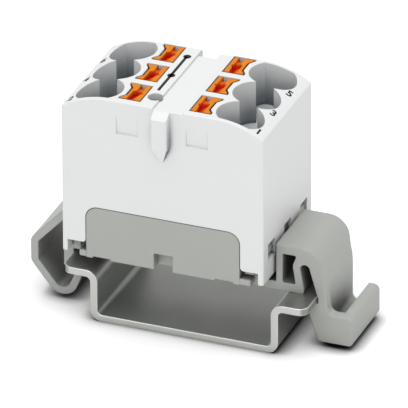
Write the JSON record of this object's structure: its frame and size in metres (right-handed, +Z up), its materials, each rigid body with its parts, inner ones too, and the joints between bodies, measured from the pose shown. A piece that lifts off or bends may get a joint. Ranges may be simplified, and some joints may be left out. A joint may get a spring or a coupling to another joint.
{
  "type": "power distribution block",
  "caption": "Small white distribution block with push-in wire entries and orange release levers in two rows, on a grey snap-foot adapter clipped to a short mounting rail.",
  "frame": {"origin": "on the underside of the rail, midway between its flange edges, level with the middle of the housing's depth", "axes": "+X across the rail towards the release foot, +Y along the rail away from the front, +Z up"},
  "size_m": [0.0463, 0.0197, 0.0337],
  "materials": {
    "white_polyamide": "smooth moulded",
    "grey_polyamide": "smooth moulded",
    "orange_polyamide": "smooth moulded",
    "zinc_plated_steel": "zinc plated, satin",
    "spring_steel": "bright rolled strip",
    "tinned_copper": "tinned, satin"
  },
  "bodies": {
    "block": {"housing": "white_polyamide", "rail_adapter": "grey_polyamide", "rail_section": "zinc_plated_steel", "current_bar": "tinned_copper", "clamping_spring_right_1": "spring_steel", "clamping_spring_right_2": "spring_steel", "clamping_spring_right_3": "spring_steel", "clamping_spring_left_1": "spring_steel", "clamping_spring_left_2": "spring_steel", "clamping_spring_left_3": "spring_steel"},
    "lever_right_1": {"release_lever_right_1": "orange_polyamide"},
    "lever_right_2": {"release_lever_right_2": "orange_polyamide"},
    "lever_right_3": {"release_lever_right_3": "orange_polyamide"},
    "lever_left_1": {"release_lever_left_1": "orange_polyamide"},
    "lever_left_2": {"release_lever_left_2": "orange_polyamide"},
    "lever_left_3": {"release_lever_left_3": "orange_polyamide"}
  },
  "joints": [
    {"name": "press_right_1", "type": "slide", "parent": "block", "child": "lever_right_1", "axis": [0, 0, -1], "range_m": [0, 0.0018], "stiffness_N_per_m": 2000, "springref_m": -0.001, "deforming": ["clamping_spring_right_1"]},
    {"name": "press_right_2", "type": "slide", "parent": "block", "child": "lever_right_2", "axis": [0, 0, -1], "range_m": [0, 0.0018], "stiffness_N_per_m": 2000, "springref_m": -0.001, "deforming": ["clamping_spring_right_2"]},
    {"name": "press_right_3", "type": "slide", "parent": "block", "child": "lever_right_3", "axis": [0, 0, -1], "range_m": [0, 0.0018], "stiffness_N_per_m": 2000, "springref_m": -0.001, "deforming": ["clamping_spring_right_3"]},
    {"name": "press_left_1", "type": "slide", "parent": "block", "child": "lever_left_1", "axis": [0, 0, -1], "range_m": [0, 0.0018], "stiffness_N_per_m": 2000, "springref_m": -0.001, "deforming": ["clamping_spring_left_1"]},
    {"name": "press_left_2", "type": "slide", "parent": "block", "child": "lever_left_2", "axis": [0, 0, -1], "range_m": [0, 0.0018], "stiffness_N_per_m": 2000, "springref_m": -0.001, "deforming": ["clamping_spring_left_2"]},
    {"name": "press_left_3", "type": "slide", "parent": "block", "child": "lever_left_3", "axis": [0, 0, -1], "range_m": [0, 0.0018], "stiffness_N_per_m": 2000, "springref_m": -0.001, "deforming": ["clamping_spring_left_3"]}
  ]
}
